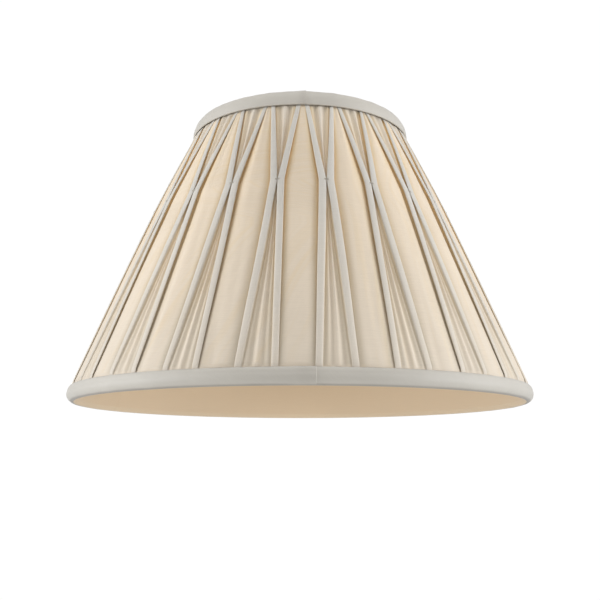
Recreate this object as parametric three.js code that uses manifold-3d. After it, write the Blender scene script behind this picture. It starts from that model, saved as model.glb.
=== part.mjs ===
// A pinch-pleated lamp shade: a tapered, fabric-covered wire frame with a reversible gimbal fitter.
//
// Units are millimetres and +Z is up. The origin is the centre of the circle that the shade stands on.
// The front is -Y, and the gimbal's pivots are on the X axis.
//
// The shade's wall is a stack of thin layers around one straight line, the generator, which runs from
// the centre of the bottom ring's wire to the centre of the top ring's wire. A place in the wall is
// (along, out): how far up the generator, and how far outwards from it.

import * as THREE from "three";
import { mergeVertices } from "three/addons/utils/BufferGeometryUtils.js";
import Module from "manifold-3d";

// ---- Driving dimensions ----

const BASE_DIAMETER = 255; // over the bottom trim
const HEIGHT = 165; // from the bottom trim's underside to the top trim's top
const TOP_RING_RADIUS = 56.6; // to the centre of the wire
const RING_WIRE = 1.5; // radius of the two rings' wire
const STRUT_WIRE = 1.2; // radius of the struts' wire
const GAP = 0.3; // between pieces that touch or are welded

const STRUTS = 8;
const PLEAT_PAIRS = 22; // pairs of tucks, each pair drawn together by one pinch stitch
const SEGMENTS = 48; // facets round the shade
const WIRE_SIDES = 8; // facets round a wire

// Layers of the wall, as distances outwards from the generator.
const TAPE = { inner: RING_WIRE + GAP, outer: RING_WIRE + GAP + 0.3 };
const LINING = { near: -2.4, far: -2.9 };
const COVER = { inner: 2.4, pressed: 3.1, innerMiddle: 1.6, ends: 3.8, middle: 5.2 };
const TRIM = { inner: 3.4, outer: 4.0 };

const TRIM_BOTTOM_HEIGHT = 7.9; // how much of the height each trim covers
const TRIM_TOP_HEIGHT = 8.8;
const PINCH_FROM_BASE = 0.64; // a pinch stitch's height, as a share of the shade's
const STITCH = { depth: 0.4, across: 2.2, tall: 1.4, lift: 0.3 }; // lift: its middle's, off the cover
const FIRST_PAIR_ANGLE = 8.3; // degrees to the right of the front, seen from the front
const COVER_JOIN_ANGLE = 4.6; // degrees: the cover's two panels join here and behind
const LINING_SEAM_ANGLE = 67.5; // degrees: over two of the struts

const GIMBAL = {
  pivotBelowTop: 8,
  tabInside: 48.5, // the bracket tab's inner face, from the axis
  neckBelowTop: 3.9, // the middle of the bracket's neck
  sheet: 1.5, // steel thickness
  width: 7, // of the brackets and the arms
  knee: 4.2, // from the pivot down to where the arm turns inwards
  drop: 18, // from the pivots down to the carrier ring's top face
  footDrop: 1.8, // from the carrier's top face down to the middle of the arm's foot
  foot: 4, // length of the arm's level foot
};
const RIVET = { shank: 1.5, bore: 1.62, head: 2.8, headHeight: 1, sides: 24 };
const CARRIER = { bore: 21, outer: 26, lip: 4, wall: 1.2, sheet: 1.5 };
const REDUCER = { bore: 14.5, flange: 23.5, flangeHeight: 1.2, spigot: 20.7, spigotHeight: 2.2, wall: 1.6 };

// ---- Worked-out places ----

const radians = THREE.MathUtils.degToRad;
// Each trim's curve round its wire is a polygon with one side level, which the shade stands on.
const TRIM_STEP = radians(30);
const trimReach = TRIM.outer * Math.cos(TRIM_STEP / 2);
const bottomWire = new THREE.Vector2(BASE_DIAMETER / 2 - trimReach, trimReach);
const topWire = new THREE.Vector2(TOP_RING_RADIUS, HEIGHT - trimReach);
const generator = topWire.clone().sub(bottomWire);
const LENGTH = generator.length();
const upwards = generator.clone().normalize();
const outwards = new THREE.Vector2(upwards.y, -upwards.x);
const lean = Math.atan2(outwards.y, outwards.x);

// (radius, height) of a place in the wall.
function wallPoint(along, out) {
  return bottomWire.clone().addScaledVector(upwards, along).addScaledVector(outwards, out);
}

// How far up the generator a place lies that is this high above the base.
function alongAtHeight(height, out) {
  return (height - bottomWire.y - out * outwards.y) / upwards.y;
}

// Points of an arc about a wire's centre, from one angle to another.
function wireArc(centre, radius, from, to, steps) {
  return Array.from({ length: steps + 1 }, (_, i) => {
    const angle = from + ((to - from) * i) / steps;
    return new THREE.Vector2(centre.x + radius * Math.cos(angle), centre.y + radius * Math.sin(angle));
  });
}

// ---- Solids ----

const wasm = await Module();
wasm.setup();

function solidOf(geometry) {
  const bare = geometry.index ? geometry.toNonIndexed() : geometry.clone();
  bare.deleteAttribute("normal");
  bare.deleteAttribute("uv");
  const merged = mergeVertices(bare, 1e-4);
  const mesh = new wasm.Mesh({
    numProp: 3,
    vertProperties: merged.attributes.position.array,
    triVerts: new Uint32Array(merged.index.array),
  });
  return new wasm.Manifold(mesh);
}

function geometryOf(solid) {
  const mesh = solid.getMesh();
  return new THREE.BufferGeometry()
    .setAttribute("position", new THREE.BufferAttribute(mesh.vertProperties, 3))
    .setIndex(new THREE.BufferAttribute(mesh.triVerts, 1));
}

function minus(geometry, ...tools) {
  return geometryOf(tools.reduce((left, tool) => left.subtract(solidOf(tool)), solidOf(geometry)));
}

function common(a, b) {
  return geometryOf(solidOf(a).intersect(solidOf(b)));
}

// A ring with this closed outline of (radius, height) points, turned about Z.
function turned(outline) {
  const clockwise = THREE.ShapeUtils.isClockWise(outline);
  const points = clockwise ? [...outline].reverse() : [...outline];
  return new THREE.LatheGeometry([...points, points[0]], SEGMENTS).rotateX(Math.PI / 2);
}

// A wire or tube ring about Z.
function torus(centre, radius) {
  return new THREE.TorusGeometry(centre.x, radius, WIRE_SIDES, SEGMENTS).translate(0, 0, centre.y);
}

// Flat metal this thick, bent along a path of [x, z] points and this wide along Y.
function bentStrip(path, thickness, width) {
  const points = path.map(([x, z]) => new THREE.Vector2(x, z));
  const normals = points.slice(1).map((point, i) => {
    const run = point.clone().sub(points[i]).normalize();
    return new THREE.Vector2(-run.y, run.x);
  });
  const side = (offset) =>
    points.map((point, i) => {
      const before = normals[Math.max(i - 1, 0)];
      const after = normals[Math.min(i, normals.length - 1)];
      const mitre = before.clone().add(after).divideScalar(1 + before.dot(after));
      return point.clone().addScaledVector(mitre, offset);
    });
  const shape = new THREE.Shape([...side(thickness / 2), ...side(-thickness / 2).reverse()]);
  return new THREE.ExtrudeGeometry(shape, { depth: width, bevelEnabled: false })
    .rotateX(Math.PI / 2)
    .translate(0, width / 2, 0);
}

function box(low, high) {
  const size = high.map((value, i) => value - low[i]);
  const middle = high.map((value, i) => (value + low[i]) / 2);
  return new THREE.BoxGeometry(...size).translate(...middle);
}

// A round bar along X.
function barAlongX(from, to, radius, sides) {
  return new THREE.CylinderGeometry(radius, radius, to - from, sides)
    .rotateZ(Math.PI / 2)
    .translate((from + to) / 2, 0, 0);
}

// ---- Finishes ----

function finish(color, roughness, metalness = 0) {
  return new THREE.MeshStandardMaterial({ color, roughness, metalness });
}

const FINISHES = {
  coverSilk: finish(0xd9cfbc, 0.55),
  trimSilk: finish(0xd3d0c8, 0.5),
  liningCloth: finish(0xdcc39d, 0.7),
  tapeCotton: finish(0xeeeae0, 0.9),
  thread: finish(0xcfc8ba, 0.7),
  coatedWire: finish(0xf2f0ea, 0.4, 0.1),
  rivetSteel: finish(0xb9babd, 0.35, 0.9),
  whitePlastic: finish(0xf4f3ee, 0.45),
};

function piece(name, geometry, material) {
  const mesh = new THREE.Mesh(geometry, material);
  mesh.name = name;
  return mesh;
}

// ---- Wire frame ----

function strutAngle(i) {
  return ((i + 0.5) * 2 * Math.PI) / STRUTS;
}

// A round bar along the generator, from one ring's wire to the other's, in the XZ plane.
function strutBar(radius, from, to) {
  const middle = wallPoint((from + to) / 2, 0);
  return new THREE.CylinderGeometry(radius, radius, to - from, WIRE_SIDES)
    .rotateX(Math.PI / 2)
    .rotateY(-lean)
    .translate(middle.x, 0, middle.y);
}

function makeStruts() {
  const weld = RING_WIRE + GAP;
  return Array.from({ length: STRUTS }, (_, i) => {
    const strut = piece(`strut_${i + 1}`, strutBar(STRUT_WIRE, weld, LENGTH - weld), FINISHES.coatedWire);
    strut.rotation.z = strutAngle(i);
    return strut;
  });
}

// Cotton tape wound round a ring, open where the struts and brackets leave the ring.
function tapeSleeve(centre, cutters) {
  return minus(torus(centre, TAPE.outer), torus(centre, TAPE.inner), ...cutters);
}

function strutHoles() {
  return Array.from({ length: STRUTS }, (_, i) =>
    strutBar(STRUT_WIRE + GAP, -TAPE.outer, LENGTH + TAPE.outer).rotateZ(strutAngle(i)),
  );
}

// ---- Gimbal fitter ----

const pivotHeight = HEIGHT - GIMBAL.pivotBelowTop;
const carrierTop = pivotHeight - GIMBAL.drop;
const neckHeight = HEIGHT - GIMBAL.neckBelowTop;
const armInside = GIMBAL.tabInside - GAP - GIMBAL.sheet;

function bracketBody() {
  const tab = GIMBAL.tabInside + GIMBAL.sheet / 2;
  const path = [
    [topWire.x - RING_WIRE - GAP, neckHeight],
    [tab, neckHeight],
    [tab, pivotHeight - GIMBAL.width / 2],
  ];
  return bentStrip(path, GIMBAL.sheet, GIMBAL.width);
}

function pivotBore() {
  return barAlongX(CARRIER.outer, topWire.x, RIVET.bore, RIVET.sides).translate(0, 0, pivotHeight);
}

// The space that a bracket's neck takes through the tape and the lining.
function bracketHole() {
  const half = new THREE.Vector2(GIMBAL.width, GIMBAL.sheet).divideScalar(2).addScalar(GAP);
  return box(
    [GIMBAL.tabInside, -half.x, neckHeight - half.y],
    [topWire.x, half.x, neckHeight + half.y],
  );
}

// One arm of flat steel: a tab beside the bracket's, a slope inwards and a foot at the carrier ring.
function armBody() {
  const middle = armInside + GIMBAL.sheet / 2;
  const footHeight = carrierTop - GIMBAL.footDrop;
  const path = [
    [middle, pivotHeight + GIMBAL.width / 2],
    [middle, pivotHeight - GIMBAL.knee],
    [CARRIER.outer + GAP + GIMBAL.foot, footHeight],
    [CARRIER.outer + GAP, footHeight],
  ];
  return bentStrip(path, GIMBAL.sheet, GIMBAL.width);
}

// A rivet with a flat head outside the bracket's tab and another inside the arm's.
function rivetBody() {
  const outer = GIMBAL.tabInside + GIMBAL.sheet + GAP;
  const inner = armInside - GAP;
  const profile = [
    [0, inner - RIVET.headHeight],
    [RIVET.head, inner - RIVET.headHeight],
    [RIVET.head, inner],
    [RIVET.shank, inner],
    [RIVET.shank, outer],
    [RIVET.head, outer],
    [RIVET.head, outer + RIVET.headHeight],
    [0, outer + RIVET.headHeight],
  ].map(([radius, x]) => new THREE.Vector2(radius, x));
  return new THREE.LatheGeometry(profile, RIVET.sides).rotateZ(-Math.PI / 2).translate(0, 0, pivotHeight);
}

// The carrier: a pressed steel ring with a turned-down lip. The lampholder stands up through it.
function carrierBody() {
  const top = carrierTop;
  return turned([
    new THREE.Vector2(CARRIER.bore, top),
    new THREE.Vector2(CARRIER.outer, top),
    new THREE.Vector2(CARRIER.outer, top - CARRIER.lip),
    new THREE.Vector2(CARRIER.outer - CARRIER.wall, top - CARRIER.lip),
    new THREE.Vector2(CARRIER.outer - CARRIER.wall, top - CARRIER.sheet),
    new THREE.Vector2(CARRIER.bore, top - CARRIER.sheet),
  ]);
}

// The reducer: a plastic ring that drops into the carrier's bore, for a smaller lampholder.
function reducerBody() {
  const bottom = carrierTop + GAP;
  const underside = bottom - REDUCER.spigotHeight;
  return turned([
    new THREE.Vector2(REDUCER.bore, underside),
    new THREE.Vector2(REDUCER.spigot, underside),
    new THREE.Vector2(REDUCER.spigot, bottom),
    new THREE.Vector2(REDUCER.flange, bottom),
    new THREE.Vector2(REDUCER.flange, bottom + REDUCER.flangeHeight),
    new THREE.Vector2(REDUCER.spigot - REDUCER.wall, bottom + REDUCER.flangeHeight),
    new THREE.Vector2(REDUCER.spigot - REDUCER.wall, underside + REDUCER.wall),
    new THREE.Vector2(REDUCER.bore, underside + REDUCER.wall),
  ]);
}

// ---- Fabric ----

// Half of a ring: what lies on one side of an upright plane through the axis, less half the gap.
function halfOf(geometry, angle) {
  const reach = BASE_DIAMETER;
  const side = box([GAP / 2, -reach, -reach], [reach, reach, reach]).rotateZ(radians(angle));
  return common(geometry, side);
}

// The pleated cover's envelope: pressed flat under the trims, and fullest at half height.
function coverWall() {
  const bulge = [0.25, 0.5, 0.75];
  const lower = alongAtHeight(TRIM_BOTTOM_HEIGHT, TRIM.outer) + GAP;
  const upper = alongAtHeight(HEIGHT - TRIM_TOP_HEIGHT, TRIM.outer) - GAP;
  const span = (share, ends, middle) => ends + (middle - ends) * Math.sin(Math.PI * share);
  const rise = bulge.map((share) => ({ share, along: lower + share * (upper - lower) }));
  const end = 0.6; // the cloth stops this far short of the wires' centres
  return turned([
    wallPoint(end, COVER.inner),
    wallPoint(end, COVER.pressed),
    wallPoint(lower, COVER.pressed),
    wallPoint(lower, COVER.ends),
    ...rise.map(({ share, along }) => wallPoint(along, span(share, COVER.ends, COVER.middle))),
    wallPoint(upper, COVER.ends),
    wallPoint(upper, COVER.pressed),
    wallPoint(LENGTH - end, COVER.pressed),
    wallPoint(LENGTH - end, COVER.inner),
    ...rise
      .reverse()
      .map(({ share, along }) => wallPoint(along, span(share, COVER.inner, COVER.innerMiddle))),
  ]);
}

// The smooth lining inside the struts, turned over each ring.
function liningWall() {
  const inward = lean + Math.PI;
  const bottomTurn = [inward, radians(310)];
  const topTurn = [inward, radians(60)];
  const near = -LINING.near;
  const far = -LINING.far;
  return turned([
    ...wireArc(bottomWire, far, ...bottomTurn, 4).reverse(),
    ...wireArc(topWire, far, ...topTurn, 6),
    ...wireArc(topWire, near, ...topTurn, 6).reverse(),
    ...wireArc(bottomWire, near, ...bottomTurn, 4),
  ]);
}

// A bias-cut band folded round a ring: down or up the cover's face, and round to the ring's far side.
// The side is -1 for the bottom ring and 1 for the top one.
function trimWall(centre, height, side, corners) {
  const edge = alongAtHeight(height, TRIM.outer);
  const bend = side < 0 ? 0 : LENGTH;
  const lastAngle = (side * Math.PI) / 2 + side * 1.5 * TRIM_STEP;
  const angles = Array.from({ length: corners }, (_, i) => lastAngle - side * (corners - 1 - i) * TRIM_STEP);
  const corner = (angle, radius) =>
    new THREE.Vector2(centre.x + radius * Math.cos(angle), centre.y + radius * Math.sin(angle));
  return turned([
    wallPoint(edge, TRIM.outer),
    wallPoint(bend, TRIM.outer),
    ...angles.map((angle) => corner(angle, TRIM.outer)),
    ...angles.map((angle) => corner(angle, TRIM.inner)).reverse(),
    wallPoint(bend, TRIM.inner),
    wallPoint(edge, TRIM.inner),
  ]);
}

// A few turns of thread across a pinched pair of tucks.
function stitchBody() {
  return new THREE.BoxGeometry(STITCH.depth, STITCH.across, STITCH.tall);
}

function makeStitches() {
  const along = alongAtHeight(PINCH_FROM_BASE * HEIGHT, COVER.middle);
  const place = wallPoint(along, COVER.middle + GAP + STITCH.lift);
  return Array.from({ length: PLEAT_PAIRS }, (_, i) => {
    const name = `pinch_stitch_${String(i + 1).padStart(2, "0")}`;
    const stitch = piece(name, stitchBody(), FINISHES.thread);
    stitch.position.set(place.x, 0, place.y);
    stitch.rotation.y = -lean;
    const spoke = new THREE.Group();
    spoke.rotation.z = radians(FIRST_PAIR_ANGLE - 90) + (i * 2 * Math.PI) / PLEAT_PAIRS;
    spoke.add(stitch);
    return spoke;
  });
}

// ---- Assembly ----

function makeFrame() {
  const bracketHoles = [bracketHole(), bracketHole().rotateZ(Math.PI)];
  const frame = new THREE.Group();
  frame.add(piece("bottom_ring", torus(bottomWire, RING_WIRE), FINISHES.coatedWire));
  frame.add(piece("top_ring", torus(topWire, RING_WIRE), FINISHES.coatedWire));
  frame.add(...makeStruts());
  frame.add(piece("bottom_ring_tape", tapeSleeve(bottomWire, strutHoles()), FINISHES.tapeCotton));
  const topCutters = [...strutHoles(), ...bracketHoles];
  frame.add(piece("top_ring_tape", tapeSleeve(topWire, topCutters), FINISHES.tapeCotton));
  return frame;
}

function makeFitter() {
  const fitter = new THREE.Group();
  for (const [side, turn] of [["right", 0], ["left", Math.PI]]) {
    const bracket = minus(bracketBody(), pivotBore()).rotateZ(turn);
    const arm = minus(armBody(), pivotBore()).rotateZ(turn);
    fitter.add(piece(`gimbal_bracket_${side}`, bracket, FINISHES.coatedWire));
    fitter.add(piece(`pivot_rivet_${side}`, rivetBody().rotateZ(turn), FINISHES.rivetSteel));
    fitter.add(piece(`gimbal_arm_${side}`, arm, FINISHES.coatedWire));
  }
  fitter.add(piece("carrier_ring", carrierBody(), FINISHES.coatedWire));
  fitter.add(piece("reducer_ring", reducerBody(), FINISHES.whitePlastic));
  return fitter;
}

function makeFabric() {
  const fabric = new THREE.Group();
  const lining = minus(liningWall(), bracketHole(), bracketHole().rotateZ(Math.PI));
  fabric.add(piece("lining_panel_back", halfOf(lining, LINING_SEAM_ANGLE), FINISHES.liningCloth));
  fabric.add(piece("lining_panel_front", halfOf(lining, LINING_SEAM_ANGLE + 180), FINISHES.liningCloth));
  fabric.add(piece("cover_panel_right", halfOf(coverWall(), COVER_JOIN_ANGLE), FINISHES.coverSilk));
  fabric.add(piece("cover_panel_left", halfOf(coverWall(), COVER_JOIN_ANGLE + 180), FINISHES.coverSilk));
  const bottomTrim = trimWall(bottomWire, TRIM_BOTTOM_HEIGHT, -1, 5);
  const topTrim = trimWall(topWire, HEIGHT - TRIM_TOP_HEIGHT, 1, 4);
  fabric.add(piece("bottom_trim", bottomTrim, FINISHES.trimSilk));
  fabric.add(piece("top_trim", topTrim, FINISHES.trimSilk));
  fabric.add(...makeStitches());
  return fabric;
}

const lampShade = new THREE.Group();
lampShade.add(makeFrame(), makeFitter(), makeFabric());

export default lampShade;
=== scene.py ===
"""Makes the looks of a pinch-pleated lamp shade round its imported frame.

The wall of the shade follows one straight line, the generator, from the middle of the bottom ring's
wire to the middle of the top ring's. A place in the wall is (along, out): how far up the generator,
and how far outwards from it. Angles go round from the front, -Y, towards the right, +X.
"""

import math
from functools import reduce

import bmesh
import bpy
import numpy as np
from bpy.props import FloatProperty, FloatVectorProperty, IntProperty, PointerProperty
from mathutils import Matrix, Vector


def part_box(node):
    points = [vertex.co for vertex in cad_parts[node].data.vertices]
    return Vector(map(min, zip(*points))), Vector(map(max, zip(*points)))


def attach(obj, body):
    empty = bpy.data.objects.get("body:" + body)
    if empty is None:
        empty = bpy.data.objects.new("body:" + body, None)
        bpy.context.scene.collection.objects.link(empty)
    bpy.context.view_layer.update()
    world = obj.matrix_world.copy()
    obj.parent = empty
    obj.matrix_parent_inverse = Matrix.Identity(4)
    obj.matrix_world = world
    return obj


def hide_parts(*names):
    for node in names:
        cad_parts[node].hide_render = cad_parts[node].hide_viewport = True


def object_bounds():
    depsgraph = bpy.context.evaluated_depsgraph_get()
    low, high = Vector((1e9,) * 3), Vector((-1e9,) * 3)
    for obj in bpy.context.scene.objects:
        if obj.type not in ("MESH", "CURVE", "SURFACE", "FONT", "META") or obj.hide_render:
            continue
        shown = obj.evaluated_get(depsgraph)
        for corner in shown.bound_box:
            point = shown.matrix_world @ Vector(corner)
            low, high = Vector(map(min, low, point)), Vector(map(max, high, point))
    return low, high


bl_info = {
    "name": "Pinch-Pleated Lamp Shade",
    "version": (1, 0, 0),
    "blender": (4, 5, 0),
    "location": "3D View > Sidebar > Lamp Shade",
    "description": "Makes a pinch-pleated lamp shade with its lining, trims, wire frame and fitter",
    "category": "Object",
}

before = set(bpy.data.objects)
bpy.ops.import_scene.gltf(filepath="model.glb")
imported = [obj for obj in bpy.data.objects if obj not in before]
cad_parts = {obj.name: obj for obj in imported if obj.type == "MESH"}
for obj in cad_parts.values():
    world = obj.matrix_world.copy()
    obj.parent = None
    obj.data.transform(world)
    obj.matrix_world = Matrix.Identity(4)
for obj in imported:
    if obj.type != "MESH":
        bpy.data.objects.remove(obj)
CAD_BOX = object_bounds()
MM = 0.001
FRONT = -math.pi / 2  # where angle 0 of the shade lies, about +Z from +X


# ---- The wall, from the frame ----


class Wall:
    """The generator and what follows from it."""

    def __init__(self):
        low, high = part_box("bottom_ring")
        self.wire = (high.z - low.z) / 2
        self.bottom = np.array([high.x - self.wire, (high.z + low.z) / 2])
        low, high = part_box("top_ring")
        self.top = np.array([high.x - self.wire, (high.z + low.z) / 2])
        self.height = CAD_BOX[1].z
        line = self.top - self.bottom
        self.length = float(np.hypot(*line))
        self.up = line / self.length
        self.outward = np.array([self.up[1], -self.up[0]])
        self.lean = math.atan2(self.outward[1], self.outward[0])

    def point(self, along, out):
        """(radius, height) of places in the wall."""
        along, out = np.broadcast_arrays(along, out)
        return self.bottom + along[..., None] * self.up + out[..., None] * self.outward

    def along_at(self, height, out=0.0):
        """How far up the generator a place this high lies."""
        return (height - self.bottom[1] - out * self.outward[1]) / self.up[1]


WALL = Wall()
FACE = 4 * MM  # how far the trims' faces stand out from the generator
LOW_EDGE = WALL.along_at(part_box("bottom_trim")[1].z, FACE)
HIGH_EDGE = WALL.along_at(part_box("top_trim")[0].z, FACE)
PINCH = sum(corner.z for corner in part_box("pinch_stitch_01")) / 2


# ---- Sizes and colours ----


def length(name, description, millimetres):
    return FloatProperty(name=name, description=description, default=millimetres * MM, unit="LENGTH")


def angle(name, description, degrees):
    return FloatProperty(name=name, description=description, default=math.radians(degrees), unit="ROTATION")


def share(name, description, default, least=0.0):
    return FloatProperty(
        name=name, description=description, default=default, min=least, max=1.0, subtype="FACTOR"
    )


def whole(name, description, default, least=0):
    return IntProperty(name=name, description=description, default=default, min=least)


def power(name, description, watts):
    return FloatProperty(name=name, description=description, default=watts, unit="POWER")


def colour(name, description, rgb):
    return FloatVectorProperty(
        name=name, description=description, default=rgb, size=3, subtype="COLOR", min=0.0, max=1.0
    )


class ShadePleats(bpy.types.PropertyGroup):
    pairs: whole("Pairs", "Pinched pairs of tucks round the shade", 22, least=4)
    first_angle: angle("First Pair", "Angle of the first pair of tucks, right of the front", 8.8)
    pinch_height: length("Pinch Height", "Height of the pinches above the base", PINCH / MM)
    gap_base: length("Gap at Base", "From a pair's middle to a tuck's, at the bottom ring", 8.4)
    gap_pinch: length("Gap at Pinch", "From a pair's middle to a tuck's, at the pinch", 1.9)
    gap_top: length("Gap at Top", "From a pair's middle to a tuck's, at the top ring", 7.6)
    tuck_base: length("Tuck at Base", "Width of a tuck's flat head at the bottom ring", 3.0)
    tuck_pinch: length("Tuck at Pinch", "Width of a tuck's flat head at the pinch", 3.7)
    tuck_top: length("Tuck at Top", "Width of a tuck's flat head at the top ring", 2.0)
    head: length("Tuck Thickness", "Thickness of a tuck's folded head", 0.8)
    cloth: length("Cloth", "Thickness of the cover's cloth", 0.16)
    wander: share("Wander", "How far pairs stray sideways, as a share of their spacing", 0.035)
    twist: angle("Twist", "How far the pleats lean round from the bottom ring to the top", 2.0)
    ruffle: length("Ruffle", "Height of the soft folds between the tucks of a pair", 0.8)
    folds: FloatProperty(
        name="Folds", description="Number of those folds, times pi", default=7.5, subtype="UNSIGNED"
    )
    waves: length("Waves", "Height of the broad waves of a wide panel", 1.6)
    seed: whole("Seed", "Seed of the hand-made unevenness", 4)


class ShadeTrims(bpy.types.PropertyGroup):
    thickness: length("Thickness", "Thickness of the folded band", 0.6)
    crown: length("Crown", "How far the bottom band's face bulges between its edges", 0.25)
    hang: length("Hang", "How far the top band's lower edge hangs below its seat", 1.2)
    flare: length("Flare", "How far the top band's lower edge stands out", 0.5)
    shoulder: length("Shoulder", "How far the top band's shoulder stands out", 1.3)
    bulge: length("Bulge", "How far the top band's face bulges between those two", 0.85)
    turn: angle("Turn", "How far round a ring's wire a band is folded, from level", 86)
    pucker: length("Pucker", "Height of the band's small puckers", 0.12)
    lap: length("Lap", "Thickness of the overlap at a band's join", 0.35)
    lap_angle: angle("Lap Length", "How far a band's ends overlap", 7.0)
    join: angle("Join", "Angle of the bands' joins, right of the front", 3.2)


class ShadeFinishes(bpy.types.PropertyGroup):
    # Partly the silk's own colour, partly painted glow: the panels are lighter and warmer than the trims,
    # standing for light from inside coming through them.
    panel: colour("Panel Silk", "The cover's silk between the tucks", (0.885, 0.735, 0.555))
    # Partly the doubled silk's own tone, partly painted shade: the tucks are greyer because less light from
    # inside comes through them.
    tuck: colour("Tuck Silk", "The doubled silk of the tucks", (0.71, 0.67, 0.60))
    # Painted glow and painted shade: the crevices beside the tucks are painted golden where light from
    # inside would come through, and darker near the base, where it wouldn't.
    painted_crevice_tint: colour("Crevice", "Silk deep beside a tuck, where light comes through", (0.93, 0.70, 0.38))
    low_crevice_painted_shade: colour("Low Crevice", "The same near the base, where no light does", (0.50, 0.445, 0.35))
    trim: colour("Trim Silk", "The bands on the rings", (0.625, 0.585, 0.515))
    trim_shadow: colour("Trim Shadow", "Where a band turns under, or its ends lap", (0.40, 0.36, 0.31))
    lining: colour("Lining", "The lining inside", (0.84, 0.665, 0.46))
    thread: colour("Thread", "The pinch stitches", (0.55, 0.50, 0.42))
    tape: colour("Tape", "The cotton tape on the rings", (0.80, 0.77, 0.70))
    coat: colour("Wire Coat", "The coated wire and the fitter", (0.82, 0.81, 0.77))
    rivet: colour("Rivet", "The plated pivots", (0.60, 0.60, 0.61))
    plastic: colour("Plastic", "The reducer ring", (0.85, 0.84, 0.80))
    floor: colour("Floor", "The floor", (0.93, 0.93, 0.92))


class ShadeStage(bpy.types.PropertyGroup):
    lens: FloatProperty(
        name="Lens", description="Focal length on a 36 mm sensor, in mm", default=54.54, unit="CAMERA"
    )
    distance: length("Distance", "From the shade's axis to the camera", 518)
    camera_height: length("Camera Height", "Of the camera, from the shade's base", -35.7)
    tilt: angle("Tilt", "How far the camera looks up", 14.34)
    rise: share("Rise", "Upward shift of the lens, as a share of the frame", -0.102, least=-1.0)
    floor_drop: length("Floor Drop", "From the shade's base down to the floor", 800)
    floor_radius: length("Floor Radius", "Of the round floor", 1800)
    floor_glow: share("Floor Glow", "How much brighter the floor looks than it is lit", 0.45)
    sky: share("Sky", "Strength of the even light all round", 0.48)
    side_light: power("Side Lights", "Power of each side light", 6.8)
    top_light: power("Top Light", "Power of the light overhead", 3.0)
    cool: colour("Cool Light", "The side lights", (0.91, 0.945, 1.0))


# ---- Node trees ----


class Tree:
    """Short calls for building a node tree."""

    def __init__(self, tree):
        self.tree = tree

    def node(self, kind, **settings):
        made = self.tree.nodes.new(kind)
        for name, value in settings.items():
            setattr(made, name, value)
        return made

    def put(self, socket, value):
        """Links another node's output to this input, or sets its value."""
        if isinstance(value, bpy.types.NodeSocket):
            self.tree.links.new(value, socket)
        else:
            socket.default_value = value

    math_kind = "ShaderNodeMath"

    def math(self, operation, *values):
        made = self.node(self.math_kind, operation=operation)
        for socket, value in zip(made.inputs, values):
            self.put(socket, value)
        return made.outputs[0]

    def total(self, *values):
        return reduce(lambda a, b: self.math("ADD", a, b), values)

    def times(self, *values):
        return reduce(lambda a, b: self.math("MULTIPLY", a, b), values)

    def scaled(self, value, factor, extra):
        """A value times a factor, and something more."""
        return self.math("MULTIPLY_ADD", value, factor, extra)

    def vector(self, x, y, z):
        made = self.node("ShaderNodeCombineXYZ")
        for socket, value in zip(made.inputs, (x, y, z)):
            self.put(socket, value)
        return made.outputs[0]

    def parts(self, place):
        made = self.node("ShaderNodeSeparateXYZ")
        self.put(made.inputs[0], place)
        return made.outputs

    def noise(self, place, scale, detail=2.0, roughness=0.5):
        made = self.node("ShaderNodeTexNoise")
        self.put(made.inputs["Vector"], place)
        self.put(made.inputs["Scale"], scale)
        self.put(made.inputs["Detail"], detail)
        self.put(made.inputs["Roughness"], roughness)
        return made.outputs[0]

    def camera_ray(self):
        """1 where a thing is seen directly, and 0 where it only lights another."""
        return self.node("ShaderNodeLightPath").outputs["Is Camera Ray"]


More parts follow.
